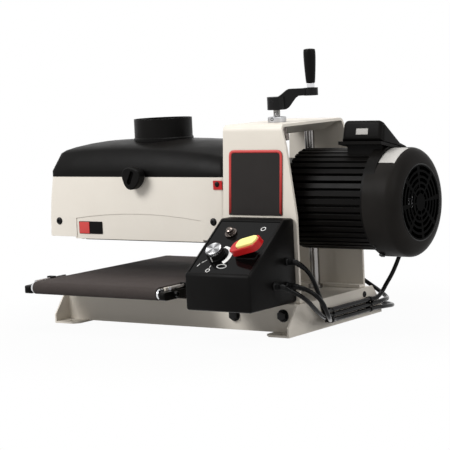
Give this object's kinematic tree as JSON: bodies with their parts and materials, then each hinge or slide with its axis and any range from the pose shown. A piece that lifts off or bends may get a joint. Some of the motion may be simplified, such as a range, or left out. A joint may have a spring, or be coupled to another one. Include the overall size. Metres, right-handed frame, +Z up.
{
  "type": "drum sander",
  "caption": "Bench-top open-ended drum sander: conveyor feed under a lifting sanding head on a column, side motor, hinged dust cover with hose port.",
  "frame": {"origin": "on the floor under the middle of the machine's box, its mains cord left out", "axes": "+X along the drum towards the motor, +Y the way the stock travels, +Z up"},
  "size_m": [0.6884, 0.4633, 0.4469],
  "materials": {
    "cream_paint": "satin powder coat, off white",
    "black_casting": "black paint, satin",
    "black_alloy": "black paint over cast alloy",
    "black_sheet": "black paint, satin",
    "black_plastic": "moulded, fine grain",
    "rubber": "matt",
    "belt": "abrasive cloth",
    "grit": "abrasive cloth",
    "steel": "machined",
    "chrome": "bright",
    "aluminium": "machined",
    "bronze": "machined",
    "charcoal": "printed sheet with a red border",
    "red": "moulded",
    "yellow": "moulded"
  },
  "bodies": {
    "base": {"base_frame": "cream_paint", "column_frame": "cream_paint", "column_panel": "charcoal", "control_box": "black_plastic", "control_panel": "black_plastic", "conveyor_bed": "cream_paint", "conveyor_belt": "belt", "feed_gearmotor": "black_alloy", "feed_lead": "rubber", "gland_feed": "rubber", "gland_mains": "rubber", "gland_motor": "rubber", "guide_post_front": "chrome", "guide_post_rear": "chrome", "mains_coil": "rubber", "mains_cord": "rubber", "mains_plug": "rubber", "motor_lead": "rubber", "motor_lead_riser": "rubber", "reset_collar": "chrome", "screw_bearing": "steel", "takeup_bracket_left": "black_alloy", "takeup_bracket_right": "black_alloy", "takeup_screw_left": "steel", "takeup_screw_right": "steel"},
    "head": {"drum_housing": "cream_paint", "head_carriage": "black_casting", "lift_nut": "bronze", "bearing_outboard": "steel", "bearing_inboard": "steel", "motor_body": "black_casting", "motor_cowl": "black_sheet", "junction_base": "black_sheet", "junction_lid": "black_plastic", "height_pointer": "red"},
    "crank": {"lead_screw": "steel", "crank_arm": "black_alloy", "grip_pin": "chrome"},
    "grip": {"crank_grip": "black_plastic"},
    "spindle": {"drum_arbor": "steel", "sanding_drum": "aluminium", "abrasive_wrap": "grit", "shaft_coupling": "steel", "motor_shaft": "steel", "cooling_fan": "black_plastic"},
    "hanger_infeed": {"pressure_hanger_infeed": "steel"},
    "press_roller_infeed": {"pressure_roller_infeed": "rubber"},
    "hanger_outfeed": {"pressure_hanger_outfeed": "steel"},
    "press_roller_outfeed": {"pressure_roller_outfeed": "rubber"},
    "cover": {"dust_cover": "black_plastic"},
    "latch": {"latch_knob": "black_plastic"},
    "idler": {"idler_roller": "steel"},
    "drive": {"drive_roller": "steel"},
    "dial": {"speed_dial": "black_plastic", "speed_dial_cap": "aluminium"},
    "paddle": {"switch_paddle": "red"},
    "key": {"safety_key": "yellow"},
    "reset": {"reset_button": "chrome"}
  },
  "joints": [
    {"name": "head_lift", "type": "slide", "parent": "base", "child": "head", "axis": [0, 0, 1], "range_m": [-0.055, 0.0185], "deforming": ["motor_lead_riser"]},
    {"name": "crank_turn", "type": "hinge", "parent": "base", "child": "crank", "pos_m": [0.10125, -0.00641, 0], "axis": [0, 0, 1], "range_deg": [-4196, 12473]},
    {"name": "grip_spin", "type": "hinge", "parent": "crank", "child": "grip", "pos_m": [0.14753, 0.026, 0], "axis": [0, 0, 1], "continuous": true},
    {"name": "drum_spin", "type": "hinge", "parent": "head", "child": "spindle", "pos_m": [-0.14875, 0.02159, 0.201], "axis": [1, 0, 0], "continuous": true},
    {"name": "cover_hinge", "type": "hinge", "parent": "head", "child": "cover", "pos_m": [-0.14875, 0.11559, 0.246], "axis": [-1, 0, 0], "range_deg": [0, 95]},
    {"name": "latch_turn", "type": "hinge", "parent": "cover", "child": "latch", "pos_m": [-0.14275, -0.06641, 0.246], "axis": [0, -1, 0], "range_deg": [0, 90]},
    {"name": "drive_roller_spin", "type": "hinge", "parent": "base", "child": "drive", "pos_m": [-0.14875, 0.17659, 0.0699], "axis": [1, 0, 0], "continuous": true},
    {"name": "idler_roller_spin", "type": "hinge", "parent": "base", "child": "idler", "pos_m": [-0.14875, -0.18441, 0.0699], "axis": [1, 0, 0], "continuous": true},
    {"name": "speed_turn", "type": "hinge", "parent": "base", "child": "dial", "pos_m": [0.08975, -0.17411, 0.13353], "axis": [0, -0.5937, 0.8047], "range_deg": [-135, 135]},
    {"name": "paddle_tilt", "type": "hinge", "parent": "base", "child": "paddle", "pos_m": [0.12645, -0.16861, 0.13871], "axis": [0, 0.8047, 0.5937], "range_deg": [0, 14]},
    {"name": "key_pull", "type": "slide", "parent": "paddle", "child": "key", "axis": [-0.2924, -0.5678, 0.7695], "range_m": [0, 0.015]},
    {"name": "reset_push", "type": "slide", "parent": "base", "child": "reset", "axis": [0, 0.5937, -0.8047], "range_m": [0, 0.0025], "stiffness_N_per_m": 400, "springref_m": -0.001},
    {"name": "press_lift_infeed", "type": "slide", "parent": "head", "child": "hanger_infeed", "axis": [0, 0, 1], "range_m": [0, 0.004], "stiffness_N_per_m": 2500, "springref_m": -0.004},
    {"name": "press_spin_infeed", "type": "hinge", "parent": "hanger_infeed", "child": "press_roller_infeed", "pos_m": [-0.14875, -0.04841, 0.144], "axis": [1, 0, 0], "continuous": true},
    {"name": "press_lift_outfeed", "type": "slide", "parent": "head", "child": "hanger_outfeed", "axis": [0, 0, 1], "range_m": [0, 0.004], "stiffness_N_per_m": 2500, "springref_m": -0.004},
    {"name": "press_spin_outfeed", "type": "hinge", "parent": "hanger_outfeed", "child": "press_roller_outfeed", "pos_m": [-0.14875, 0.09159, 0.144], "axis": [1, 0, 0], "continuous": true}
  ],
  "couplings": [
    {"joint": "crank_turn", "follows": "head_lift", "rad_per_m": -3957.9},
    {"joint": "idler_roller_spin", "follows": "drive_roller_spin", "ratio": 1}
  ]
}
